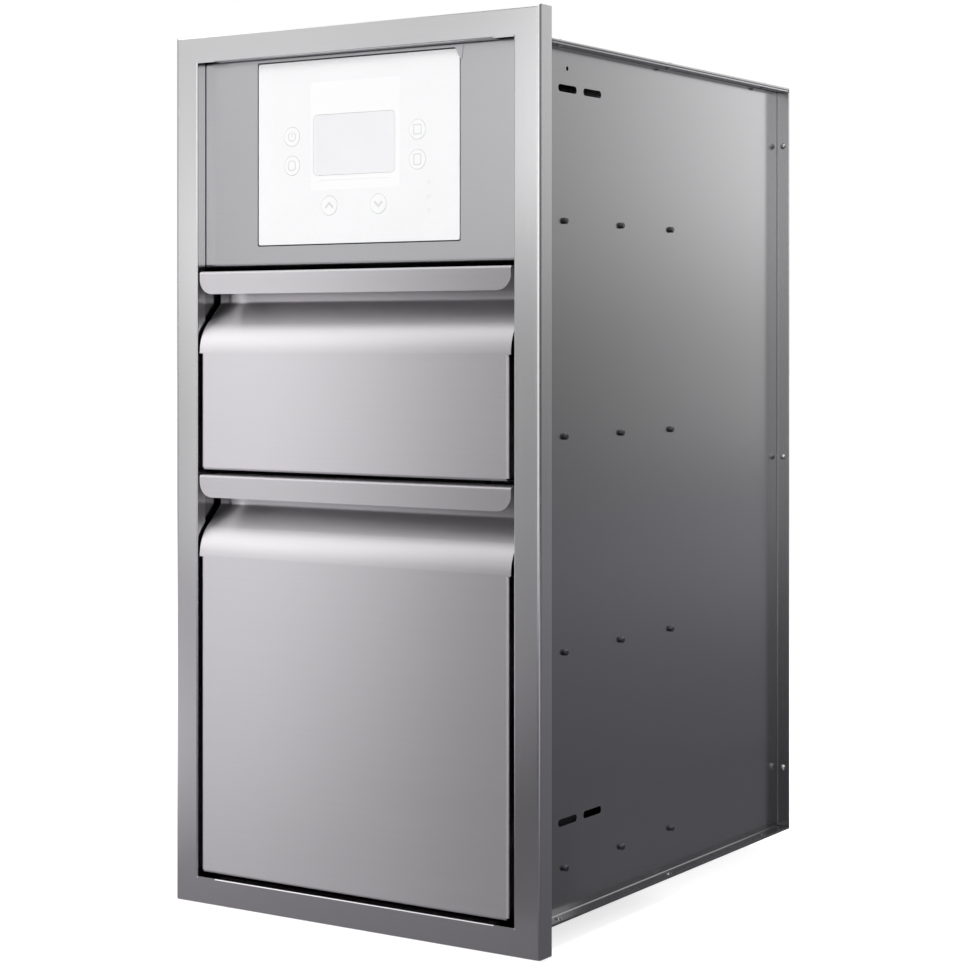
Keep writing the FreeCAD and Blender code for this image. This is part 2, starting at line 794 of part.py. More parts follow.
def make_control_fascia():
    edge = "panel_inner - fascia_side_gap"
    deep = "fascia_front + fascia_flange"
    high = "box_roof - sheet - fascia_top_gap"
    width = "2 * (%s - relief)" % edge
    height = "%s - fascia_low - 2 * relief" % high
    level = folded("fascia_level_channel", "X", "relief - (%s)" % edge, width, "sheet", [
        (deep, "fascia_low"), ("fascia_front", "fascia_low", "relief"),
        ("fascia_front", high, "relief"), (deep, high)])
    upright = folded("fascia_upright_channel", "Z", "fascia_low + relief", height, "sheet", [
        (edge, deep), (edge, "fascia_front", "relief"),
        ("-(%s)" % edge, "fascia_front", "relief"), ("-(%s)" % edge, deep)])
    window = bar("fascia_window", "Y", "fascia_front - sheet", "3 * sheet", plate_outline("plate_gap"))
    studs = bar(
        "fascia_studs", "Y", "fascia_back", "stud_length",
        *[disc(x, z, "stud_radius") for x, z in STUD_PLACES])
    clip_low = "plate_top + plate_gap"
    leg_low = "plate_top - clip_drop"
    clip = bar(
        "fascia_clip", "Y", "fascia_front - clip_sheet", "clip_sheet",
        loop([
            ("-clip_reach", clip_low), ("clip_reach - clip_flare", clip_low),
            ("clip_reach - clip_leg", leg_low), ("clip_reach - clip_leg / 2", leg_low),
            ("clip_reach", clip_low), ("clip_reach", clip_low + " + clip_height"),
            ("-clip_reach", clip_low + " + clip_height")]))
    blank = joined("fascia_blank", level, upright)
    pierced = less("fascia_cut", blank, window)
    return finished("control_fascia", joined("fascia_welded", pierced, studs, clip))


# Control shelf: closes the control space over the small drawer, held by the top row of screws.
def countersinks(label, modules):
    """Cones that sink the heads of the side screws into the sheet inside the right panel."""
    cones = []
    for module in modules:
        for y in SCREW_PLACES:
            cone = doc.addObject("Part::Cone", label)
            bind(cone, "Radius1", "screw_sink")
            bind(cone, "Radius2", "screw_radius")
            bind(cone, "Height", "sheet")
            cone.Placement.Rotation = FreeCAD.Rotation(AXES["Z"], AXES["X"])
            bind(cone, "Placement.Base.x", "panel_inner - sheet")
            bind(cone, "Placement.Base.y", y)
            bind(cone, "Placement.Base.z", row_height(module))
            cones.append(cone)
    return joined(label + "_cones", *cones)


def make_control_shelf():
    start = "fascia_front + fascia_flange + fascia_side_gap"
    level = folded(
        "shelf_channel", "Y", start, "back_front - fascia_side_gap - (%s)" % start, "sheet", [
            ("panel_inner", "fascia_low + shelf_wall"), ("panel_inner", "fascia_low", "relief"),
            ("-panel_inner", "fascia_low", "relief"), ("-panel_inner", "fascia_low + shelf_wall")])
    right = countersinks("shelf_countersink", [3])
    both = joined("shelf_countersinks", right, reflected("shelf_countersinks_left", right, "X"))
    return finished("control_shelf", less("shelf_cut", level, both))


# Control unit, from the front: plate, lens, buttons, gasket, housing and circuit board.
BUTTONS = {
    "power_button": ("controls_shift - button_column", "plate_middle + button_high"),
    "left_button": ("controls_shift - button_column", "plate_middle + button_low"),
    "upper_right_button": ("controls_shift + button_column", "plate_middle + button_high"),
    "lower_right_button": ("controls_shift + button_column", "plate_middle + button_low"),
    "up_button": ("controls_shift - arrow_column", "plate_middle + arrow_row"),
    "down_button": ("controls_shift + arrow_column", "plate_middle + arrow_row"),
}
LIGHTS = [("light_column", "plate_middle + light_row + %d * light_pitch" % step) for step in (-1, 0, 1)]
POSTS = [
    (x, "plate_middle %s post_rise" % rise)
    for x in ("post_side", "-post_side") for rise in ("+", "-")]


def make_control_plate():
    body = new_body("control_plate")
    pad(body, "Y", "fascia_front", "plate_sheet", plate_outline())
    pocket(
        body, "Y", "fascia_front", "plate_sheet", display_outline(),
        *[disc(x, z, "button_radius + button_play") for x, z in BUTTONS.values()],
        *[disc(x, z, "light_radius") for x, z in LIGHTS])


def make_display():
    lens = new_body("display_lens")
    pad(lens, "Y", "fascia_front", "plate_sheet", display_outline("-lens_gap", "display_corner - lens_gap"))
    screen = new_body("display_module")
    pad(screen, "Y", "plate_back", "module_sheet", display_outline("module_margin", None))


def flange_outline():
    """The outline of the housing's flange and its gasket, behind the fascia."""
    half_width = "plate_width / 2 + housing_flange"
    return block("0", "plate_middle", half_width, "plate_height / 2 + housing_rim")


def make_gasket():
    body = new_body("control_gasket")
    pad(body, "Y", "fascia_back", "gasket_sheet", flange_outline())
    pocket(
        body, "Y", "fascia_back", "gasket_sheet", plate_outline("lens_gap"),
        *[disc(x, z, "stud_radius + hole_play") for x, z in STUD_PLACES])


def make_housing():
    body = new_body("control_housing")
    pad(body, "Y", "gasket_back", "housing_flange_sheet", flange_outline())
    pad(body, "Y", "gasket_back", "housing_depth", block(
        "0", "plate_middle", "housing_half", "housing_half_height", "housing_wall"))
    pocket(body, "Y", "gasket_back", "housing_depth - housing_wall", block(
        "0", "plate_middle", "housing_half - housing_wall", "housing_half_height - housing_wall"))
    pad(
        body, "Y", "board_back", "housing_back - board_back - housing_wall / 2",
        *[disc(x, z, "post_radius") for x, z in POSTS])
    pocket(
        body, "Y", "board_back", "board_screw_length",
        *[disc(x, z, "board_screw_radius") for x, z in POSTS])
    pocket(
        body, "Y", "gasket_back", "housing_depth",
        *[disc(x, z, "stud_radius + hole_play") for x, z in STUD_PLACES],
        disc("terminal_side", "plate_middle + terminal_row", "cable_radius"))


def make_board():
    body = new_body("circuit_board")
    pad(body, "Y", "board_front", "board_sheet", block(
        "0", "plate_middle", "board_half", "board_half_height"))
    pocket(
        body, "Y", "board_front", "board_sheet",
        *[disc(x, z, "board_screw_radius + hole_play") for x, z in POSTS])
    terminals = new_body("terminal_block")
    pad(terminals, "Y", "board_back", "terminal_depth", block(
        "terminal_side", "plate_middle + terminal_row", "terminal_width / 2", "terminal_height / 2"))
    pocket(terminals, "Y", "board_back + terminal_depth - terminal_well", "terminal_well", *[
        block("terminal_side + %d * terminal_pitch" % step, "plate_middle + terminal_row",
              "terminal_mouth / 2", "terminal_mouth / 2")
        for step in (-1, 0, 1)])


def make_button(label, x, z):
    """A round cap with a rim behind the plate and a stem that ends just short of its switch."""
    body = new_body(label)
    bind(body, "Placement.Base.x", x)
    bind(body, "Placement.Base.z", z)
    face = "fascia_front - button_proud"
    rim = "plate_back + rim_play"
    turn(body, [
        (face, "0"), (face, "button_radius", "button_edge"), (rim, "button_radius"),
        (rim, "button_radius + button_rim"), (rim + " + rim_sheet", "button_radius + button_rim"),
        (rim + " + rim_sheet", "stem_radius"), ("stem_tip", "stem_radius"), ("stem_tip", "0")])


def make_small_electronics():
    side = amount("switch_side")
    switches = []
    for x, z in BUTTONS.values():
        corner = Vector(amount(x) - side / 2, amount("switch_front"), amount(z) - side / 2)
        switches.append(Part.makeBox(side, amount("switch_height"), side, corner))
    grouped("button_switches", switches)
    reach = amount("board_front - fascia_front")
    radius = amount("light_radius - light_play")
    grouped("indicator_lights", [
        Part.makeCylinder(radius, reach, Vector(amount(x), amount("fascia_front"), amount(z)), AXES["Y"])
        for x, z in LIGHTS])
    grouped("board_screws", [
        domed_screw(
            Vector(amount(x), amount("board_front"), amount(z)), AXES["Y"],
            amount("board_screw_head_radius"), amount("board_screw_head"),
            amount("board_screw_radius"), amount("board_screw_length"))
        for x, z in POSTS])
    seat = amount("gasket_back + housing_flange_sheet")
    grouped("fascia_nuts", [nut(Vector(amount(x), seat, amount(z))) for x, z in STUD_PLACES])


# Slides, drawn for the right side of the unit at the height of their row.
SLIDES = {"small_slide": 2, "large_upper_slide": 1, "large_lower_slide": 0}
CAGES = {"small": ["small_slide"], "large": ["large_upper_slide", "large_lower_slide"]}
BALLS_IN_ROW = 3
BALL_PLACES = [
    "cage_front + cage_margin + %d * (cage_length - 2 * cage_margin) / %d" % (step, BALLS_IN_ROW - 1)
    for step in range(BALLS_IN_ROW)]


def channel(label, start, length, thickness, rise, corners):
    """A member symmetric about its row: corners are (distance in from the panel, height, radius)."""
    near = [("panel_inner - (%s)" % c[0], "%s + (%s)" % (rise, c[1])) + c[2:] for c in corners]
    far = [("panel_inner - (%s)" % c[0], "%s - (%s)" % (rise, c[1])) + c[2:] for c in reversed(corners)]
    return folded(label, "Y", start, length, thickness, near + far)


def both_sides(label, item):
    finished(label + "_right", item)
    mirrored(label + "_left", item)


def make_slide(name, module):
    rise = row_height(module)
    corner = "sheet + bend"
    outer = channel(name + "_outer", "slide_front", "slide_length", "sheet", rise, [
        ("lip_reach", "slide_half - slide_curl"), ("lip_reach", "slide_half", corner),
        ("0", "slide_half", corner)])
    sinks = countersinks(name + "_countersink", [module])
    both_sides(name + "_outer", less(name + "_outer_sunk", outer, sinks))
    middle = channel(name + "_middle", "slide_front", "slide_length", "sheet", rise, [
        ("lip_reach", "middle_half"), ("middle_web", "middle_half", corner)])
    both_sides(name + "_middle", middle)
    inner = channel(name + "_inner", "slide_front", "slide_length", "sheet", rise, [
        ("inner_cage_in + cage_sheet + slide_play", "-inner_half"),
        ("slide_thickness", "-inner_half", corner)])
    holes = bar(
        name + "_inner_holes", "X", "panel_inner - slide_thickness - sheet", "3 * sheet",
        *screw_holes([module], "tray_screw_radius + hole_play"))
    both_sides(name + "_inner", less(name + "_inner_drilled", inner, holes))


def make_cage(name, rise, inside, outside, ball_in, ball_rise):
    """A right-hand cage: a channel with a hole for each ball."""
    strip = channel(name, "cage_front", "cage_length", "cage_sheet", rise, [
        (outside, "%s + cage_sheet / 2" % ball_rise),
        (inside, "%s + cage_sheet / 2" % ball_rise, "cage_bend")])
    holes = bar(
        name + "_holes", "Z", "%s - slide_half" % rise, "slide_height",
        *[disc("panel_inner - %s" % ball_in, y, "ball_radius + cage_play") for y in BALL_PLACES])
    return less(name + "_drilled", strip, holes)


def make_cages(drawer, ring, inside, outside, ball_in, ball_rise):
    """All the cages of one drawer that move together, with their balls."""
    pieces = []
    balls = []
    radius = amount("ball_radius")
    places = [amount(y) for y in BALL_PLACES]
    for slide in CAGES[drawer]:
        rise = row_height(SLIDES[slide])
        cage = make_cage("%s_%s_cage" % (slide, ring), rise, inside, outside, ball_in, ball_rise)
        pieces += [cage, reflected(cage.Name + "_left", cage, "X")]
        for side in (-1, 1):
            x = side * amount("panel_inner - %s" % ball_in)
            for sign in ("+", "-"):
                z = amount("%s %s %s" % (rise, sign, ball_rise))
                balls += [Part.makeSphere(radius, Vector(x, y, z)) for y in places]
    ball_group = doc.addObject("Part::Feature", "%s_%s_balls" % (drawer, ring))
    ball_group.Shape = Part.makeCompound(balls)
    label = "%s_%s_cages" % (drawer, ring)
    whole = doc.addObject("Part::Compound", label)
    whole.Links = pieces + [ball_group]
    finished(label, whole)


# Drawers. The skin of the front is folded into a grip band, a finger recess and a rolled lip.
DRAWERS = ["small", "large"]
FRONT_SCREWS = ["-front_screw_side", "0", "front_screw_side"]


def front_screw_holes(high):
    radius = "tray_screw_radius + hole_play"
    return [disc(x, "%s - front_screw_drop" % high, radius) for x in FRONT_SCREWS]


def make_front(drawer, low, high):
    name = drawer + "_skin"
    step = "%s - lip_drop" % high
    grip = folded(name + "_grip", "X", "-lip_half", "2 * lip_half", "front_sheet", [
        ("0", step), ("0", "%s - recess_wall - recess_depth" % high, "lip_radius"),
        ("recess_depth", "%s - recess_wall" % high, "recess_bend"),
        ("recess_depth", "%s - front_sheet" % high, "front_bend"),
        ("front_sheet", "%s - front_sheet" % high, "front_bend"),
        ("front_sheet", "%s - band_height" % high)])
    band_low = "%s - band_height" % high
    trim = bar(
        name + "_band_trim", "Y", "0", "front_sheet",
        block("0", band_low, "lip_half + band_corner", "band_corner"),
        rectangle("-lip_half", band_low, "lip_half", "%s + 3 * band_corner" % band_low, "band_corner"))
    start = "%s + front_relief" % low
    face = folded(name + "_face", "Z", start, "%s - (%s)" % (step, start), "front_sheet", [
        ("face_half", "liner_front"), ("face_half", "0", "front_relief"),
        ("-face_half", "0", "front_relief"), ("-face_half", "liner_front")])
    edge = "face_half - front_relief"
    foot = folded(name + "_foot", "X", "-(%s)" % edge, "2 * (%s)" % edge, "front_sheet", [
        ("liner_front", low), ("0", low, "front_relief"), ("0", step)])
    holes = bar(
        name + "_holes", "Y", "recess_depth - front_sheet", "3 * front_sheet",
        *front_screw_holes(high))
    skin = joined(name + "_folded", less(name + "_trimmed", grip, trim), face, foot)
    finished(drawer + "_drawer_front", less(name + "_drilled", skin, holes))


def make_liner(drawer, low, high):
    """The flat panel that closes the back of the front and carries the tray."""
    name = drawer + "_liner"
    deep = "liner_front + liner_flange"
    bottom = "%s + liner_margin" % low
    top = "%s - liner_margin" % high
    pan = folded(name + "_pan", "X", "-face_half", "2 * face_half", "sheet", [
        (deep, bottom), ("liner_front", bottom, "relief"),
        ("liner_front", top, "relief"), (deep, top)])
    holes = bar(name + "_holes", "Y", "liner_front - sheet", "3 * sheet", *front_screw_holes(high))
    finished(drawer + "_drawer_liner", less(name + "_drilled", pan, holes))


def make_tray(drawer, low, high):
    name = drawer + "_tray"
    bottom = "%s + tray_lift" % low
    top = "%s - tray_drop" % high
    corner = "tray_sheet + bend"
    fold = "tray_half - tray_hem"
    lip = "%s - tray_lip" % top
    trough = folded(name + "_trough", "Y", "tray_front", "tray_rear - tray_front", "tray_sheet", [
        (fold, lip), (fold, top, corner), ("tray_half", top, corner),
        ("tray_half", bottom, corner), ("-tray_half", bottom, corner),
        ("-tray_half", top, corner), ("-(%s)" % fold, top, corner), ("-(%s)" % fold, lip)])
    rows = [SLIDES[slide] for slide in CAGES[drawer]]
    holes = bar(
        name + "_holes", "X", "-panel_inner", "2 * panel_inner",
        *screw_holes(rows, "tray_screw_radius + hole_play"))
    finished(drawer + "_drawer_tray", less(name + "_drilled", trough, holes))
    half = "tray_half - tray_sheet"
    front = "tray_rear - tray_back_flange"
    rear = "tray_rear - tray_back_inset"
    floor = "%s + tray_sheet" % bottom
    wall = folded(name + "_wall", "Z", floor, "%s - (%s)" % (lip, floor), "tray_sheet", [
        ("-(%s)" % half, front), ("-(%s)" % half, rear, corner),
        (half, rear, corner), (half, front)])
    reliefs = bar(
        name + "_reliefs", "Y", front, "tray_back_flange",
        rectangle("%s - bend" % half, floor, half, "%s + bend" % floor),
        rectangle("-(%s)" % half, floor, "bend - (%s)" % half, "%s + bend" % floor))
    finished(drawer + "_drawer_back", less(name + "_relieved", wall, reliefs))


def make_drawer_screws(drawer, high):
    """Screws from inside the tray into the slides, and from the liner into the skin."""
    sizes = [amount(name) for name in ("tray_screw_head_radius", "tray_screw_head", "tray_screw_radius")]
    reach = amount("tray_half - tray_sheet")
    screws = []
    for slide in CAGES[drawer]:
        for y in SCREW_PLACES:
            for side in (-1, 1):
                place = Vector(side * reach, amount(y), amount(row_height(SLIDES[slide])))
                screws.append(domed_screw(place, AXES["X"] * side, *sizes, amount("tray_sheet + sheet")))
    for x in FRONT_SCREWS:
        place = Vector(amount(x), amount("tray_front"), amount("%s - front_screw_drop" % high))
        screws.append(domed_screw(place, -AXES["Y"], *sizes, amount("sheet + front_sheet")))
    grouped(drawer + "_drawer_screws", screws)


def make_side_screws():
    """Screws from inside the box, through the slides or the shelf, that stand out of the side panels."""
    screws = []
    for side in (-1, 1):
        x = side * amount("panel_inner - sheet")
        for module in MODULES:
            rise = amount(row_height(module))
            screws += [sunk_screw(Vector(x, amount(y), rise), AXES["X"] * side) for y in SCREW_PLACES]
    grouped("side_screws", screws)


def make_rivets():
    rivets = []
    thin = amount("2 * sheet")
    thick = amount("sheet + box_roof - panel_high")
    for side in (-1, 1):
        x = side * amount("flange_middle")
        for y in RIVET_ROW:
            rivets.append(rivet(Vector(x, amount(y), amount("box_roof")), -AXES["Z"], thick))
            rivets.append(rivet(Vector(x, amount(y), amount("box_floor + 2 * sheet")), -AXES["Z"], thin))
        for z in RIVET_COLUMN:
            rivets.append(rivet(Vector(x, amount("back_rear"), amount(z)), -AXES["Y"], thin))
    grouped("flange_rivets", rivets)


make_face_frame()
mirrored("side_panel_left", make_side_panel())
make_top_panel()
make_bottom_panel()
make_back_panel()
make_cable_grommet()
make_control_fascia()
make_control_shelf()
make_control_plate()
make_display()
make_gasket()
make_housing()
make_board()
for button, (column, level) in BUTTONS.items():
    make_button(button, column, level)
make_small_electronics()
for slide, module in SLIDES.items():
    make_slide(slide, module)
for drawer in DRAWERS:
    make_cages(drawer, "outer", "outer_cage_in", "outer_cage_out", "outer_ball_in", "outer_ball_rise")
    make_cages(drawer, "inner", "inner_cage_in", "lip_reach", "inner_ball_in", "inner_ball_rise")
    low, high = drawer + "_front_low", drawer + "_front_high"
    make_front(drawer, low, high)
    make_liner(drawer, low, high)
    make_tray(drawer, low, high)
    make_drawer_screws(drawer, high)
make_side_screws()
make_rivets()
doc.recompute()

faults = []
for item in doc.Objects:
    if "Invalid" in item.State or "Error" in item.State:
        faults.append("%s: %s" % (item.Label, item.State))
for feature in pockets:
    if feature.Shape.Volume >= feature.BaseFeature.Shape.Volume:
        faults.append("%s cuts nothing" % feature.Label)
for item in parts:
    if item.Shape.isNull() or not item.Shape.isValid() or not item.Shape.Solids:
        faults.append("%s has no valid solid" % item.Label)
if faults:
    raise RuntimeError("; ".join(faults))

os.makedirs("parts", exist_ok=True)
for item in parts:
    item.Shape.exportStep("parts/%s.step" % item.Label)
print(len(parts), "nodes,", sum(len(item.Shape.Solids) for item in parts), "solids")
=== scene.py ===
# Looks of the outdoor kitchen drawer unit: brushed sheet steel, a white control plate with printed
# symbols, and a plain studio. Metres. X runs across the unit, Y from front to back, Z up.
import json
import math

import bpy
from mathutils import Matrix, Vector


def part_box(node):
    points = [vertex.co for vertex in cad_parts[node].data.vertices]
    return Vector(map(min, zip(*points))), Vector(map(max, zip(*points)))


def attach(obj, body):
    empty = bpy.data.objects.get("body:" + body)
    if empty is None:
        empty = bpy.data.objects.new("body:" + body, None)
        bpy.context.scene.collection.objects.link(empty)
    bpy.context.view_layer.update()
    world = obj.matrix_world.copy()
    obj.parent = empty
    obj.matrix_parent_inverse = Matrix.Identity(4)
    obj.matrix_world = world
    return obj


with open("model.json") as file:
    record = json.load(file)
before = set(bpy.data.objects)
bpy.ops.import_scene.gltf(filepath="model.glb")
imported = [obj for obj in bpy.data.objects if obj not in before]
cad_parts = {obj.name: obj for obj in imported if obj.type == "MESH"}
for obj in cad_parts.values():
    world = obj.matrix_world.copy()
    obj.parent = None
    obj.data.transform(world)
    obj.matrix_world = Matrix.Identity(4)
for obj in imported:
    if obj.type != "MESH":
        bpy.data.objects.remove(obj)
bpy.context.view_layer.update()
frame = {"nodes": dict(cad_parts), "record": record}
nodes = frame["nodes"]
bodies = frame["record"]["behaviour"]["bodies"]

MM = 0.001
WHITE = (1, 1, 1, 1)


# Materials. Each one has its own grain from its nodes.
def add(tree, kind, inputs=(), **settings):
    """A node with its settings, and its inputs by name or number, each a value or another node's output."""
    made = tree.nodes.new(kind)
    for name, value in settings.items():
        setattr(made, name, value)
    for key, value in dict(inputs).items():
        if isinstance(value, bpy.types.NodeSocket):
            tree.links.new(value, made.inputs[key])
        else:
            made.inputs[key].default_value = value
    return made


def start_material(name, values=()):
    """A material, with these values on its shader."""
    material = bpy.data.materials.new(name)
    material.use_nodes = True
    tree = material.node_tree
    shader = tree.nodes["Principled BSDF"]
    for key, value in dict(values).items():
        shader.inputs[key].default_value = value
    return material, tree, shader


def number(tree, operation, *values):
    """One number worked out from others."""
    return add(tree, "ShaderNodeMath", dict(enumerate(values)), operation=operation).outputs[0]


def place_of(tree):
    """The place of each point of a surface."""
    return add(tree, "ShaderNodeTexCoord").outputs["Object"]


def split_up(tree, vector):
    """The X, Y and Z of a vector, by name."""
    return add(tree, "ShaderNodeSeparateXYZ", {"Vector": vector}).outputs


def noise(tree, place, scale, detail, **more):
    """A noise value at each place. Its scale is per metre, and its detail counts the finer layers."""
    inputs = {"Vector": place, "Scale": scale, "Detail": detail, **more}
    return add(tree, "ShaderNodeTexNoise", inputs).outputs["Fac"]


# nearly all values of a noise lie between these
NOISE_LOW, NOISE_HIGH = 0.3, 0.7


def vary(tree, value, low, high):
    """A noise value stretched from the middle of its range to low and high."""
    spread = {"Value": value, "From Min": NOISE_LOW, "From Max": NOISE_HIGH, "To Min": low, "To Max": high}
    return add(tree, "ShaderNodeMapRange", spread).outputs["Result"]


def mixed(tree, share, low, high, **settings):
    """The low colour where the share is 0, and the high one where it is 1."""
    inputs = {"Factor": share, "A": low, "B": high}
    return add(tree, "ShaderNodeMix", inputs, data_type="RGBA", **settings).outputs["Result"]


def tinted(tree, factor, colour, depth):
    """The colour, darker by depth where the factor is low."""
    dark = [channel * (1 - depth) for channel in colour]
    return mixed(tree, factor, (*dark, 1), (*colour, 1))


def shaded(tree, share, colour, depth):
    """The colour times the depth, where the share is 1."""
    return mixed(tree, share, colour, (depth, depth, depth, 1), blend_type="MULTIPLY")


def painted(tree, shader, colour):
    """Gives the shader its colour."""
    tree.links.new(colour, shader.inputs["Base Color"])


def glossed(tree, shader, grain, roughness, spread):
    """Gives the shader a roughness that the grain takes down and up by the spread, a share of it."""
    varied = vary(tree, grain, roughness * (1 - spread), roughness * (1 + spread))
    tree.links.new(varied, shader.inputs["Roughness"])


def raised(tree, shader, height, strength, distance):
    """Gives the shader a relief of this height."""
    bump = add(tree, "ShaderNodeBump", {"Strength": strength, "Distance": distance, "Height": height})
    tree.links.new(bump.outputs["Normal"], shader.inputs["Normal"])


# The grain of the welded frame turns along its mitres, which start at the corners of its opening.
FRAME_MIDDLE = 435 * MM
OPENING_HALF_WIDTH = 187 * MM
OPENING_HALF_HEIGHT = 407 * MM


def stile_share(tree, split):
    """1 on the frame's stiles and 0 on its rails, split along the mitres."""
    across = number(tree, "SUBTRACT", number(tree, "ABSOLUTE", split["X"]), OPENING_HALF_WIDTH)
    upward = number(tree, "ABSOLUTE", number(tree, "SUBTRACT", split["Z"], FRAME_MIDDLE))
    return number(tree, "GREATER_THAN", across, number(tree, "SUBTRACT", upward, OPENING_HALF_HEIGHT))


def mitred_grain(tree, split):
    """The place with its X along the grain, and the grain's direction: along rails and up stiles."""
    stile = stile_share(tree, split)
    rail = number(tree, "SUBTRACT", 1.0, stile)
    forward = number(tree, "ADD", number(tree, "MULTIPLY", split["X"], rail),
                     number(tree, "MULTIPLY", split["Z"], stile))
    aside = number(tree, "ADD", number(tree, "MULTIPLY", split["Z"], rail),
                   number(tree, "MULTIPLY", split["X"], stile))
    return {"X": forward, "Y": split["Y"], "Z": aside}, {"X": rail, "Z": stile}


def straight_grain(split, along):
    """The place with its X along the grain, and the grain's direction, for a grain along one axis."""
    first, second = [axis for axis in "XYZ" if axis != along]
    return {"X": split[along], "Y": split[first], "Z": split[second]}, {along: 1.0}


# Painted shade: a grip band is painted a little darker than the face below it, and the underside of
# its fold is painted darker still, for the shade that falls under the fold.
PAINTED_BAND_SHADE = 0.86
BAND_HEIGHT = 22.5 * MM
BAND_MARGIN = 1 * MM
PAINTED_FOLD_SHADE = 0.35
FACES_DOWN = -0.5


def band_of(node):
    """The heights of the grip band along the top of a drawer's front."""
    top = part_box(node)[1].z
    return top - BAND_HEIGHT, top + BAND_MARGIN


def paint_band_shade(tree, height, normal, colour, bands):
    """The colour with painted shade: darker between the heights of each band, and darker still under its
    fold.
    """
    faces_down = number(tree, "LESS_THAN", split_up(tree, normal)["Z"], FACES_DOWN)
    for low, high in bands:
        inside = number(tree, "COMPARE", height, (low + high) / 2, (high - low) / 2)
        under = number(tree, "MULTIPLY", inside, faces_down)
        # painted shade over the band, and more painted shade on its downward faces under the fold
        colour = shaded(tree, inside, colour, PAINTED_BAND_SHADE)
        colour = shaded(tree, under, colour, PAINTED_FOLD_SHADE)
    return colour


# Streaks change slowly along the grain and fast across it, and broad clouds lie under them.
STREAK_LONG = 7.0
STREAK_FINE = 1100.0
STREAK_SHARE, CLOUD_SHARE = 0.75, 0.25
STREAK_DEPTH = 0.04
STREAK_RELIEF = 0.02
# keeps a direction for the gloss on faces that the grain meets square on
SLANT = (0.003, 0.002, 0.004)


def brushed(name, colour, roughness, along, anisotropy=0.2, bands=()):
    """Sheet metal with fine streaks along X, Y or Z, or turned at the frame's mitres."""
    material, tree, shader = start_material(name, {"Metallic": 1.0, "Anisotropic": anisotropy})
    place = place_of(tree)
    split = split_up(tree, place)
    order, direction = mitred_grain(tree, split) if along == "mitred" else straight_grain(split, along)
    turned = add(tree, "ShaderNodeCombineXYZ", order).outputs["Vector"]
    streaks = add(tree, "ShaderNodeMapping", {
        "Vector": turned, "Scale": (STREAK_LONG, STREAK_FINE, STREAK_FINE)}).outputs["Vector"]
    fine = noise(tree, streaks, scale=1.0, detail=4.0, Roughness=0.65)
    clouds = noise(tree, place, scale=5.0, detail=2.0)
    grain = number(tree, "ADD", number(tree, "MULTIPLY", fine, STREAK_SHARE),
                   number(tree, "MULTIPLY", clouds, CLOUD_SHARE))
    normal = add(tree, "ShaderNodeNewGeometry").outputs["Normal"]
    shade = tinted(tree, vary(tree, grain, 0.0, 1.0), colour, STREAK_DEPTH)
    # painted shade on the drawers' grip bands and under their folds
    if bands:
        shade = paint_band_shade(tree, split["Z"], normal, shade, bands)
    painted(tree, shader, shade)
    glossed(tree, shader, grain, roughness, spread=0.07)
    raised(tree, shader, fine, STREAK_RELIEF, distance=0.2 * MM)
    groove = add(tree, "ShaderNodeCombineXYZ", direction).outputs["Vector"]
    across = add(tree, "ShaderNodeVectorMath", {0: normal, 1: groove}, operation="CROSS_PRODUCT")
    tangent = add(tree, "ShaderNodeVectorMath", {0: across.outputs["Vector"], 1: SLANT}, operation="ADD")
    tree.links.new(tangent.outputs["Vector"], shader.inputs["Tangent"])
    return material


def plain_metal(name, colour, roughness, scale=160.0, depth=0.12):
    """Zinc plate or turned steel: a faint mottle in its colour and gloss."""
    material, tree, shader = start_material(name, {"Metallic": 1.0})
    mottle = noise(tree, place_of(tree), scale, detail=4.0)
    painted(tree, shader, tinted(tree, vary(tree, mottle, 0.0, 1.0), colour, depth))
    glossed(tree, shader, mottle, roughness, spread=0.25)
    raised(tree, shader, mottle, strength=0.05, distance=0.1 * MM)
    return material


def threaded(name, colour, roughness, pitch, depth):
    """Plated screws whose shanks lie along X and carry a thread, with painted shade in its grooves."""
    material, tree, shader = start_material(name, {"Metallic": 1.0})
    place = place_of(tree)
    turns = number(tree, "MULTIPLY", split_up(tree, place)["X"], math.tau / pitch)
    ridge = number(tree, "MULTIPLY", number(tree, "ADD", number(tree, "SINE", turns), 1.0), 0.5)
    mottle = noise(tree, place, scale=500.0, detail=3.0)
    # painted shade: the colour is darker by depth in the thread's grooves
    painted(tree, shader, tinted(tree, ridge, colour, depth))
    glossed(tree, shader, mottle, roughness, spread=0.2)
    raised(tree, shader, ridge, strength=0.5, distance=0.3 * MM)
    return material


def moulded(name, colour, roughness, scale=900.0, depth=0.03, relief=0.04, coat=0.0):
    """Plastic or rubber with a fine grain."""
    material, tree, shader = start_material(name, {"Coat Weight": coat})
    place = place_of(tree)
    grain = noise(tree, place, scale, detail=3.0)
    clouds = noise(tree, place, scale=14.0, detail=2.0)
    painted(tree, shader, tinted(tree, vary(tree, clouds, 0.0, 1.0), colour, depth))
    glossed(tree, shader, grain, roughness, spread=0.15)
    raised(tree, shader, grain, relief, distance=0.05 * MM)
    return material


# how far from a cell's middle the copper starts
COPPER_EDGE = 0.62


def laminate(name, board, copper, roughness, scale):
    """A green circuit board with faint copper runs under its lacquer."""
    material, tree, shader = start_material(name, {"Roughness": roughness})
    inputs = {"Vector": place_of(tree), "Scale": scale}
    cells = add(tree, "ShaderNodeTexVoronoi", inputs, distance="MANHATTAN")
    runs = number(tree, "GREATER_THAN", cells.outputs["Distance"], COPPER_EDGE)
    painted(tree, shader, mixed(tree, runs, (*board, 1), (*copper, 1)))
    raised(tree, shader, runs, strength=0.1, distance=0.05 * MM)
    return material


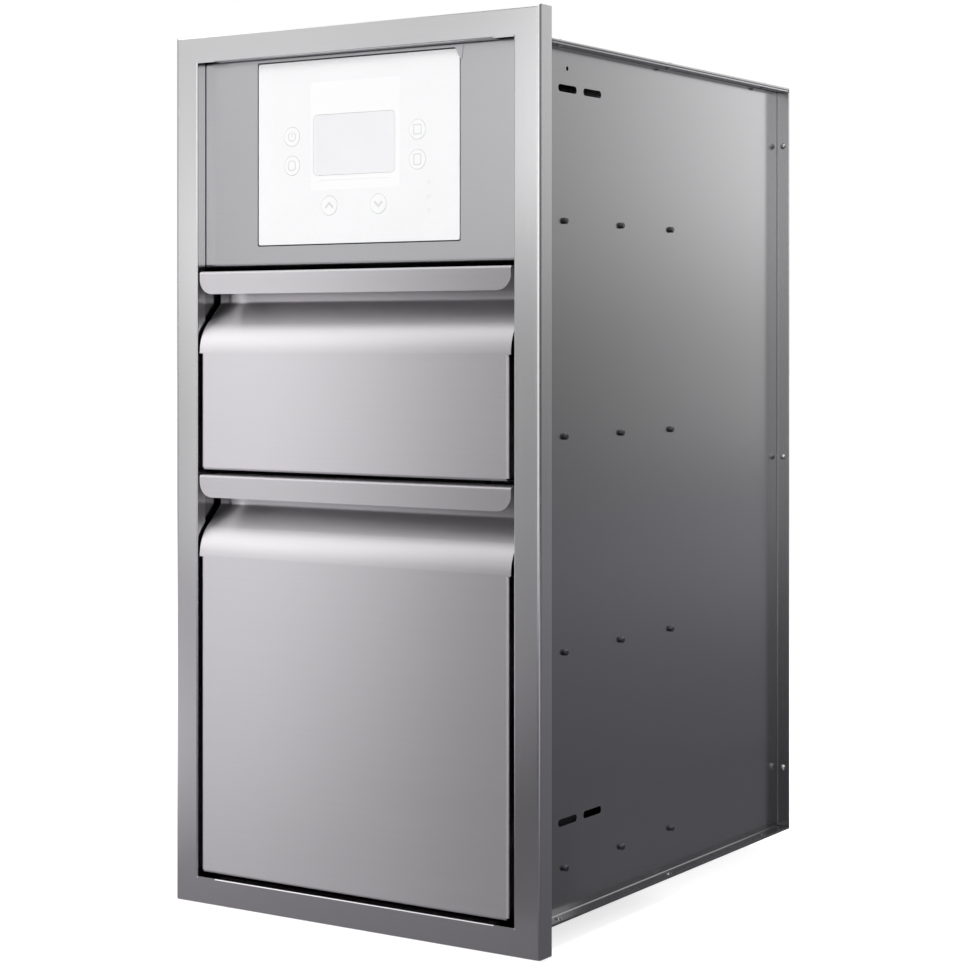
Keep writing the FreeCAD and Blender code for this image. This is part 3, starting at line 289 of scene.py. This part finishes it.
FRONTS = ("small_drawer_front", "large_drawer_front")
FRAME_STEEL = brushed("frame_steel", (0.725, 0.718, 0.73), roughness=0.20, along="mitred", anisotropy=0.0)
# the fronts' grip bands carry painted shade, and the undersides of their folds more of it
FRONT_STEEL = brushed("front_steel", (0.755, 0.735, 0.76), roughness=0.32, along="X", anisotropy=1.0,
                      bands=[band_of(node) for node in FRONTS])
# the side, top and bottom panels get a much darker colour than the frame, which is painted shade of the
# unit's shaded side
SIDE_STEEL = brushed("side_steel", (0.43, 0.43, 0.438), roughness=0.20, along="Y", anisotropy=0.0)
SHEET_STEEL = brushed("sheet_steel", (0.54, 0.535, 0.55), roughness=0.32, along="Y", anisotropy=0.3)
FASCIA_STEEL = brushed("fascia_steel", (0.545, 0.545, 0.56), roughness=0.30, along="X")
LEVEL_STEEL = brushed("level_steel", (0.57, 0.565, 0.58), roughness=0.34, along="X", anisotropy=0.4)
ZINC = plain_metal("zinc_plate", (0.56, 0.57, 0.59), roughness=0.30)
BRIGHT = plain_metal("bright_steel", (0.62, 0.62, 0.62), roughness=0.16, scale=700.0, depth=0.06)
# the screws' depth is painted shade in their thread's grooves
SCREW = threaded("screw_steel", (0.15, 0.15, 0.155), roughness=0.13, pitch=0.8 * MM, depth=0.45)
RUBBER = moulded("black_rubber", (0.03, 0.03, 0.03), roughness=0.62, scale=700.0, relief=0.12)
PLATE_WHITE = moulded("white_plate", (0.93, 0.93, 0.94), roughness=0.30, depth=0.015, coat=0.2)
CAP_WHITE = moulded("white_caps", (0.95, 0.95, 0.955), roughness=0.32, depth=0.015, coat=0.2)
PRINT_WHITE = moulded("white_print", (0.955, 0.955, 0.96), roughness=0.45, depth=0.01)
PRINT_GREY = moulded("grey_print", (0.74, 0.74, 0.75), roughness=0.5)
PALE_GREY = moulded("pale_grey_print", (0.86, 0.86, 0.87), roughness=0.5)
WINDOW = moulded("display_window", (0.89, 0.885, 0.905), roughness=0.18, coat=0.5)
MODULE = moulded("display_module", (0.10, 0.11, 0.12), roughness=0.5)
HOUSING = moulded("housing_plastic", (0.07, 0.07, 0.07), roughness=0.5, relief=0.15)
BOARD = laminate("circuit_board", board=(0.03, 0.18, 0.08), copper=(0.07, 0.27, 0.13), roughness=0.35,
                 scale=260.0)
TERMINAL = moulded("terminal_plastic", (0.06, 0.28, 0.14), roughness=0.42)
SWITCH = moulded("switch_plastic", (0.04, 0.04, 0.04), roughness=0.4)
PIPE = moulded("light_pipes", (0.90, 0.90, 0.91), roughness=0.35)

FINISHES = {
    "face_frame": FRAME_STEEL, "side_panel": SIDE_STEEL, "top_panel": SIDE_STEEL,
    "bottom_panel": SIDE_STEEL, "back_panel": LEVEL_STEEL, "cable_grommet": RUBBER,
    "control_fascia": FASCIA_STEEL, "control_shelf": SHEET_STEEL, "control_plate": PLATE_WHITE,
    "display_lens": WINDOW, "display_module": MODULE, "control_gasket": RUBBER,
    "control_housing": HOUSING, "circuit_board": BOARD, "terminal_block": TERMINAL,
    "button_switches": SWITCH, "indicator_lights": PIPE, "board_screws": BRIGHT,
    "fascia_nuts": BRIGHT, "side_screws": SCREW, "flange_rivets": BRIGHT,
}
DRAWER_FINISHES = {"front": FRONT_STEEL, "liner": LEVEL_STEEL, "tray": SHEET_STEEL, "back": LEVEL_STEEL,
                   "screws": BRIGHT}


def finish_of(node):
    """The material of a node, by its name, by the end of it, or by its name without its side."""
    if node.endswith("_button"):
        return CAP_WHITE
    if "slide" in node or "cages" in node:
        return ZINC
    if "_drawer_" in node:
        return DRAWER_FINISHES[node.split("_drawer_")[1]]
    return FINISHES.get(node) or FINISHES[node.rsplit("_", 1)[0]]


for node, item in nodes.items():
    finish = finish_of(node)
    for slot in item.material_slots:
        slot.material = finish
    if not item.material_slots:
        item.data.materials.append(finish)


def new_object(name, data):
    """An object in the scene."""
    item = bpy.data.objects.new(name, data)
    bpy.context.scene.collection.objects.link(item)
    return item


def mesh_object(name, points, faces, material):
    """An object of these faces, in one material."""
    mesh = bpy.data.meshes.new(name)
    mesh.from_pydata(points, [], faces)
    mesh.materials.append(material)
    mesh.update()
    return new_object(name, mesh)


# Printed marks: flat ribbons that stand a hair proud of the face they lie on.
PRINT_DEPTH = 0.05 * MM
OPEN, CLOSED = False, True


def body_of(node):
    """The body that a node moves with."""
    return next(name for name, members in bodies.items() if node in members)


def front_middle(node):
    """The middle of a node as seen from the front, in X and Z."""
    low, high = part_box(node)
    return (low.x + high.x) / 2, (low.z + high.z) / 2


def link_piece(name, points, faces, material, body):
    """A printed piece that rides with a body."""
    piece = mesh_object(name, points, faces, material)
    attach(piece, body)


def sides_of(points, width, closed):
    """The two edges of a ribbon of this width along the points."""
    count = len(points)
    left, right = [], []
    for i, point in enumerate(points):
        before = [point - points[i - 1]] if closed or i else []
        after = [points[(i + 1) % count] - point] if closed or i < count - 1 else []
        ways = [way.normalized() for way in before + after]
        way = sum(ways, Vector((0, 0))).normalized()
        across = Vector((-way.y, way.x)) * (width / 2 / way.dot(ways[0]))
        left.append(point + across)
        right.append(point - across)
    return left, right


def band(left, right, closed, centre, front, back):
    """Points and faces of a flat band between two edges, drawn in X and Z about a centre.

    Each place along it has four points: left and right in front, then left and right behind.
    """
    points, faces = [], []
    for a, b in zip(left, right):
        for y in (front, back):
            points += [(centre[0] + spot.x, y, centre[1] + spot.y) for spot in (a, b)]
    count = len(left)
    for i in range(count if closed else count - 1):
        near, far = 4 * i, 4 * ((i + 1) % count)
        faces += [(near, near + 1, far + 1, far), (near + 2, far + 2, far + 3, near + 3),
                  (near, far, far + 2, near + 2), (near + 1, near + 3, far + 3, far + 1)]
    if not closed:
        last = 4 * (count - 1)
        faces += [(0, 2, 3, 1), (last, last + 1, last + 3, last + 2)]
    return points, faces


def marks(name, node, strokes, material, centre=None, depth=PRINT_DEPTH):
    """Ribbons of (points, width, closed) printed on a node's front face."""
    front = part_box(node)[0].y
    points, faces = [], []
    for line, width, closed in strokes:
        edges = sides_of([Vector(spot) for spot in line], width, closed)
        more, round_them = band(*edges, closed, centre or front_middle(node), front - depth, front)
        faces += [tuple(corner + len(points) for corner in face) for face in round_them]
        points += more
    link_piece(name, points, faces, material, body_of(node))


def arc(radius, start, stop, steps):
    """Points along an arc, its angles in degrees from straight up."""
    turns = [math.radians(start + (stop - start) * step / steps) for step in range(steps + 1)]
    return [(radius * math.sin(turn), radius * math.cos(turn)) for turn in turns]


def rounded(half_width, half_height, radius, steps=6):
    """The outline of a rectangle with round corners."""
    outline = []
    for right, up, start in ((1, 1, 0), (1, -1, 90), (-1, -1, 180), (-1, 1, 270)):
        centre_x = right * (half_width - radius)
        centre_z = up * (half_height - radius)
        outline += [(centre_x + x, centre_z + z) for x, z in arc(radius, start, start + 90, steps)]
    return outline


SYMBOL_LINE = 1.0 * MM
POWER_RADIUS = 4.4 * MM
POWER_GAP_DEGREES = 32
POWER_STEPS = 24
STROKE_LOW, STROKE_TOP = -0.6 * MM, 5.6 * MM
ARROW_LINE = 2.0 * MM
ARROW_HALF_WIDTH, ARROW_TIP, ARROW_FOOT = 4.6 * MM, 2.4 * MM, 2.2 * MM


def power():
    """A ring that is open at the top, and the stroke through its gap."""
    ring = arc(POWER_RADIUS, POWER_GAP_DEGREES, 360 - POWER_GAP_DEGREES, POWER_STEPS)
    stroke = [(0, STROKE_LOW), (0, STROKE_TOP)]
    return [(ring, SYMBOL_LINE, OPEN), (stroke, SYMBOL_LINE, OPEN)]


def rectangle(**sizes):
    """A rectangle with round corners, drawn as a line."""
    return [(rounded(**sizes), SYMBOL_LINE, CLOSED)]


def arrow(way):
    """An arrow's head, with its tip at the top where the way is 1 and at the bottom where it is -1."""
    foot = -way * ARROW_FOOT
    head = [(-ARROW_HALF_WIDTH, foot), (0, way * ARROW_TIP), (ARROW_HALF_WIDTH, foot)]
    return [(head, ARROW_LINE, OPEN)]


SYMBOLS = {
    "power_button": power(),
    "left_button": rectangle(half_width=4.2 * MM, half_height=4.6 * MM, radius=3.0 * MM),
    "upper_right_button": rectangle(half_width=4.3 * MM, half_height=4.5 * MM, radius=0.3 * MM, steps=2),
    "lower_right_button": rectangle(half_width=4.0 * MM, half_height=5.0 * MM, radius=1.2 * MM),
    "up_button": arrow(1),
    "down_button": arrow(-1),
}
for button, strokes in SYMBOLS.items():
    marks(button + "_symbol", button, strokes, PRINT_GREY)

# The pale rectangle around the display, the rim on the display, and a rule under it.
PALE_LEFT, PALE_RIGHT = -54.6 * MM, 51.0 * MM
PALE_TOP, PALE_LOW = 815.6 * MM, 710.6 * MM
PALE_CORNER = 2 * MM
HOLE_CORNER = 5.2 * MM
DISPLAY_RIM = 0.4 * MM
RIM_CORNER = 4.4 * MM
RIM_LINE = 0.7 * MM
RULE_HALF_WIDTH = 42 * MM
RULE_LINE = 0.6 * MM
RULE_DROP = 5.0 * MM

display_low, display_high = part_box("display_lens")
display_middle = Vector(front_middle("display_lens"))
window_half = Vector((display_high.x - display_low.x, display_high.z - display_low.z)) / 2
pale_middle = Vector(((PALE_LEFT + PALE_RIGHT) / 2, (PALE_TOP + PALE_LOW) / 2))
pale_outline = [
    Vector(spot) for spot in rounded((PALE_RIGHT - PALE_LEFT) / 2, (PALE_TOP - PALE_LOW) / 2, PALE_CORNER)]
hole_outline = [
    Vector(spot) + display_middle - pale_middle
    for spot in rounded(window_half.x + DISPLAY_RIM, window_half.y + DISPLAY_RIM, HOLE_CORNER)]
plate_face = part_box("control_plate")[0].y
pale_points, pale_faces = band(
    pale_outline, hole_outline, CLOSED, pale_middle, plate_face - PRINT_DEPTH, plate_face)
link_piece("printed_card", pale_points, pale_faces, PRINT_WHITE, body_of("control_plate"))
rim = rounded(window_half.x - DISPLAY_RIM, window_half.y - DISPLAY_RIM, RIM_CORNER)
marks("display_rim", "display_lens", [(rim, RIM_LINE, CLOSED)], PALE_GREY)
rule = [(-RULE_HALF_WIDTH, 0), (RULE_HALF_WIDTH, 0)]
marks("display_rule", "control_plate", [(rule, RULE_LINE, OPEN)], PALE_GREY,
      centre=(display_middle.x, display_low.z - RULE_DROP), depth=2 * PRINT_DEPTH)

# Camera, measured from the picture: level, with its view lowered by the shift.
CAMERA_PLACE = Vector((1.2961, -2.0390, 0.56495))
CAMERA_LEVEL = math.radians(90)
CAMERA_TURN = math.radians(32.915)
CAMERA_LENS = 85.0
CAMERA_SENSOR = 36.0
CAMERA_SHIFT = -0.14849

camera_data = bpy.data.cameras.new("camera")
camera_data.lens = CAMERA_LENS
camera_data.sensor_width = CAMERA_SENSOR
camera_data.shift_y = CAMERA_SHIFT
camera = new_object("camera", camera_data)
camera.location = CAMERA_PLACE
camera.rotation_euler = (CAMERA_LEVEL, 0, CAMERA_TURN)
bpy.context.scene.camera = camera
bpy.context.scene.view_settings.view_transform = "Standard"

# Studio: a white room, a floor that keeps the shadow, soft lamps, and cards that only reflections
# see, which shade the metal as a photographer's walls and floor do.
WORLD_LIGHT = 0.45
FLOOR_HALF = 30.0
FLOOR_GLOW = 0.68
FLOOR_GREY = (0.8, 0.8, 0.8, 1)


def seen_directly(tree):
    """1 for rays from the camera, from gloss and through glass, and 0 for light."""
    path = add(tree, "ShaderNodeLightPath").outputs
    direct = number(tree, "MAXIMUM", path["Is Camera Ray"], path["Is Glossy Ray"])
    return number(tree, "MAXIMUM", direct, path["Is Transmission Ray"])


def light_room():
    """A world that looks white and gives a weaker light."""
    world = bpy.data.worlds.new("studio")
    bpy.context.scene.world = world
    world.use_nodes = True
    tree = world.node_tree
    backdrop = tree.nodes["Background"]
    backdrop.inputs["Color"].default_value = WHITE
    brightness = number(tree, "MULTIPLY_ADD", seen_directly(tree), 1 - WORLD_LIGHT, WORLD_LIGHT)
    tree.links.new(brightness, backdrop.inputs["Strength"])


def stage_plane(name, corners, material):
    """A plane of the studio, which isn't part of the unit."""
    plane = mesh_object(name, corners, [(0, 1, 2, 3)], material)
    return plane


def lay_floor():
    """A pale floor that glows only where it is looked at, so that it is nearly white."""
    material, tree, shader = start_material("floor", {
        "Base Color": FLOOR_GREY, "Roughness": 0.9, "Emission Color": WHITE})
    glow = number(tree, "MULTIPLY", seen_directly(tree), FLOOR_GLOW)
    tree.links.new(glow, shader.inputs["Emission Strength"])
    stage_plane("floor", [
        (-FLOOR_HALF, -FLOOR_HALF, 0), (FLOOR_HALF, -FLOOR_HALF, 0),
        (FLOOR_HALF, FLOOR_HALF, 0), (-FLOOR_HALF, FLOOR_HALF, 0)], material)


def shade_along(tree, value, stops):
    """A shade that runs straight between (place, shade) stops."""
    first, last = stops[0][0], stops[-1][0]
    share = add(tree, "ShaderNodeMapRange", {"Value": value, "From Min": first, "From Max": last})
    ramp = add(tree, "ShaderNodeValToRGB", {"Fac": share.outputs["Result"]})
    steps = ramp.color_ramp.elements
    for place, _ in stops[1:-1]:
        steps.new((place - first) / (last - first))
    for step, (_, shade) in zip(steps, stops):
        step.color = (shade, shade, shade, 1)
    return ramp.outputs["Color"]


def card(name, low, high, tint, strength, **stops):
    """A card between two corners, flat on one axis, that glows in reflections alone, shaded by stops."""
    material, tree, _ = start_material(name)
    tree.nodes.clear()
    split = split_up(tree, place_of(tree))
    glow = strength
    for axis, shades in stops.items():
        glow = number(tree, "MULTIPLY", shade_along(tree, split[axis], shades), glow)
    light = add(tree, "ShaderNodeEmission", {"Color": (*tint, 1), "Strength": glow})
    add(tree, "ShaderNodeOutputMaterial", {"Surface": light.outputs["Emission"]})
    wide, tall = [axis for axis in range(3) if low[axis] != high[axis]]
    corners = []
    for far, up in ((0, 0), (1, 0), (1, 1), (0, 1)):
        corner = list(low)
        corner[wide] = (low, high)[far][wide]
        corner[tall] = (low, high)[up][tall]
        corners.append(corner)
    plane = stage_plane(name, corners, material)
    plane.visible_camera = False
    plane.visible_diffuse = False
    plane.visible_shadow = False
    plane.visible_transmission = False


def lamp(name, place, size, watts):
    """A soft square lamp that faces the unit's middle."""
    data = bpy.data.lights.new(name, "AREA")
    data.shape = "SQUARE"
    data.size = size
    data.energy = watts
    item = new_object(name, data)
    item.location = place
    aim = Vector((0, 0, FRAME_MIDDLE)) - Vector(place)
    item.rotation_euler = aim.to_track_quat("-Z", "Y").to_euler()
    item.visible_glossy = False


light_room()
lay_floor()

NEUTRAL = (1.0, 1.0, 1.0)
COOL_FLOOR = (1.01, 1.0, 1.08)
LILAC = (1.02, 0.99, 1.05)
# the room's walls and ceiling, and the heights at which the cards of the front wall meet
LEFT, FRONT, RIGHT, BACK, CEILING = -4.0, -3.0, 3.6, 9.0, 3.2
ROOF_BACK = 4.0
LOW_WALL, HIGH_WALL = 0.85, 1.7
# the cards just over the floor meet beside the unit and in front of it
OVER_FLOOR = 2 * MM
BESIDE = 0.216
NEAR_FRONT = -0.4
# a low card stands beside the foot of the side panel
FOOT_X, FOOT_FRONT, FOOT_BACK, FOOT_TOP = 0.262, -0.05, 0.70, 0.10

card("front_low_card", low=(LEFT, FRONT, 0), high=(RIGHT, FRONT, LOW_WALL), tint=NEUTRAL, strength=2.2,
     X=[(LEFT, 0.05), (-2.8, 0.05), (-2.3, 1.0), (-1.9, 0.56), (-1.5, 0.05), (-1.1, 0.43), (0, 0.62),
        (RIGHT, 0.77)],
     Z=[(0, 0.68), (0.45, 0.56), (LOW_WALL, 1.0)])
card("front_middle_card", low=(LEFT, FRONT, LOW_WALL), high=(RIGHT, FRONT, HIGH_WALL), tint=NEUTRAL,
     strength=3.3,
     X=[(LEFT, 0.04), (-2.5, 0.34), (-1.9, 0.31), (-1.5, 0.24), (-0.9, 1.0), (-0.6, 0.9), (-0.3, 0.28),
        (1.4, 0.28), (1.75, 1.0), (2.05, 0.68), (RIGHT, 0.52)],
     Z=[(LOW_WALL, 1.0), (HIGH_WALL, 0.51)])
card("front_high_card", low=(LEFT, FRONT, HIGH_WALL), high=(RIGHT, FRONT, CEILING), tint=NEUTRAL,
     strength=3.0,
     X=[(LEFT, 1.0), (-2.6, 1.0), (-1.9, 0.08), (RIGHT, 0.10)],
     Z=[(HIGH_WALL, 1.0), (CEILING, 0.46)])
card("front_floor_card", low=(LEFT, FRONT, OVER_FLOOR), high=(RIGHT, NEAR_FRONT, OVER_FLOOR), tint=LILAC,
     strength=1.9,
     X=[(LEFT, 0.82), (-1.6, 1.0), (-1.0, 0.65), (-0.6, 0.32), (-0.2, 0.08), (0.5, 0.08), (RIGHT, 1.0)],
     Y=[(FRONT, 0.05), (-1.3, 0.39), (NEAR_FRONT, 1.0)])
card("near_floor_card", low=(LEFT, NEAR_FRONT, OVER_FLOOR), high=(BESIDE, 0, OVER_FLOOR), tint=LILAC,
     strength=0.33,
     X=[(LEFT, 1.0), (-0.5, 0.96), (BESIDE, 0.53)])
card("right_card", low=(RIGHT, FRONT, 0), high=(RIGHT, BACK, CEILING), tint=NEUTRAL, strength=3.3,
     Y=[(FRONT, 0.13), (3.5, 0.08), (6.0, 0.28), (BACK, 1.0)],
     Z=[(0, 0.28), (0.6, 0.37), (1.2, 0.74), (CEILING, 1.0)])
card("right_floor_card", low=(BESIDE, NEAR_FRONT, OVER_FLOOR), high=(RIGHT, BACK, OVER_FLOOR),
     tint=COOL_FLOOR, strength=1.0,
     X=[(BESIDE, 1.0), (1.2, 0.97), (RIGHT, 0.24)],
     Y=[(NEAR_FRONT, 0.11), (1.7, 0.20), (5.0, 0.57), (BACK, 1.0)])
card("foot_card", low=(FOOT_X, FOOT_FRONT, OVER_FLOOR), high=(FOOT_X, FOOT_BACK, FOOT_TOP),
     tint=COOL_FLOOR, strength=0.15)
card("roof_card", low=(LEFT, FRONT, CEILING), high=(RIGHT, ROOF_BACK, CEILING), tint=NEUTRAL, strength=1.4)
card("left_card", low=(LEFT, FRONT, 0), high=(LEFT, ROOF_BACK, CEILING), tint=NEUTRAL, strength=0.4)

lamp("key_lamp", place=(-2.4, -2.6, 2.3), size=1.8, watts=70)
lamp("fill_lamp", place=(2.6, -2.0, 1.8), size=2.0, watts=25)
lamp("top_lamp", place=(0.2, 0.6, 3.2), size=2.4, watts=45)
